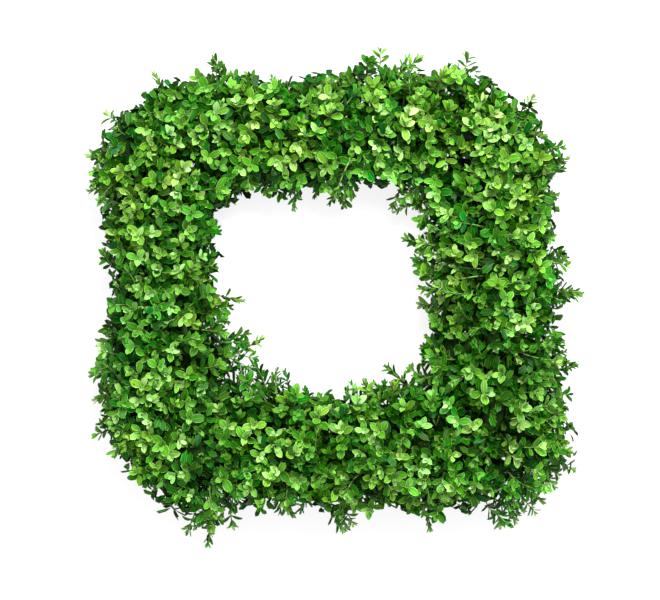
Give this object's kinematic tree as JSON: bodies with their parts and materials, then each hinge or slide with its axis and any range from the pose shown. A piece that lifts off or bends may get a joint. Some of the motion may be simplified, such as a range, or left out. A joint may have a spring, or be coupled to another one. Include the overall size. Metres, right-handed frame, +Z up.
{
  "type": "boxwood wreath",
  "caption": "Square boxwood wreath: a bound ring of twisted vine that carries dense bunches of small green leaves round an open middle, lying flat on its back.",
  "frame": {"origin": "on the surface that the wreath lies on, under the middle of the box round all its foliage", "axes": "+Z up out of the wreath's face, +X and +Y along its sides, with +Y towards the top of the picture"},
  "size_m": [0.55, 0.5324, 0.106],
  "materials": {
    "boxwood_leaf": "fresh boxwood leaves, waxy on top and paler below",
    "vine_bark": "dry brown vine bark",
    "green_wire": "dark green enamelled florist's wire"
  },
  "bodies": {
    "root": {"vine_ring": "vine_bark", "binding_wire": "green_wire", "bunch_outer_01": "boxwood_leaf", "bunch_outer_02": "boxwood_leaf", "bunch_outer_03": "boxwood_leaf", "bunch_outer_04": "boxwood_leaf", "bunch_outer_05": "boxwood_leaf", "bunch_outer_06": "boxwood_leaf", "bunch_outer_07": "boxwood_leaf", "bunch_outer_08": "boxwood_leaf", "bunch_outer_09": "boxwood_leaf", "bunch_outer_10": "boxwood_leaf", "bunch_outer_11": "boxwood_leaf", "bunch_outer_12": "boxwood_leaf", "bunch_outer_13": "boxwood_leaf", "bunch_outer_14": "boxwood_leaf", "bunch_outer_15": "boxwood_leaf", "bunch_outer_16": "boxwood_leaf", "bunch_outer_17": "boxwood_leaf", "bunch_outer_18": "boxwood_leaf", "bunch_outer_19": "boxwood_leaf", "bunch_outer_20": "boxwood_leaf", "bunch_crown_01": "boxwood_leaf", "bunch_crown_02": "boxwood_leaf", "bunch_crown_03": "boxwood_leaf", "bunch_crown_04": "boxwood_leaf", "bunch_crown_05": "boxwood_leaf", "bunch_crown_06": "boxwood_leaf", "bunch_crown_07": "boxwood_leaf", "bunch_crown_08": "boxwood_leaf", "bunch_crown_09": "boxwood_leaf", "bunch_crown_10": "boxwood_leaf", "bunch_crown_11": "boxwood_leaf", "bunch_crown_12": "boxwood_leaf", "bunch_crown_13": "boxwood_leaf", "bunch_crown_14": "boxwood_leaf", "bunch_crown_15": "boxwood_leaf", "bunch_crown_16": "boxwood_leaf", "bunch_inner_01": "boxwood_leaf", "bunch_inner_02": "boxwood_leaf", "bunch_inner_03": "boxwood_leaf", "bunch_inner_04": "boxwood_leaf", "bunch_inner_05": "boxwood_leaf", "bunch_inner_06": "boxwood_leaf", "bunch_inner_07": "boxwood_leaf", "bunch_inner_08": "boxwood_leaf", "bunch_inner_09": "boxwood_leaf", "bunch_inner_10": "boxwood_leaf", "bunch_inner_11": "boxwood_leaf", "bunch_inner_12": "boxwood_leaf", "bunch_corner_01": "boxwood_leaf", "bunch_corner_02": "boxwood_leaf", "bunch_corner_03": "boxwood_leaf", "bunch_corner_04": "boxwood_leaf"}
  },
  "joints": []
}
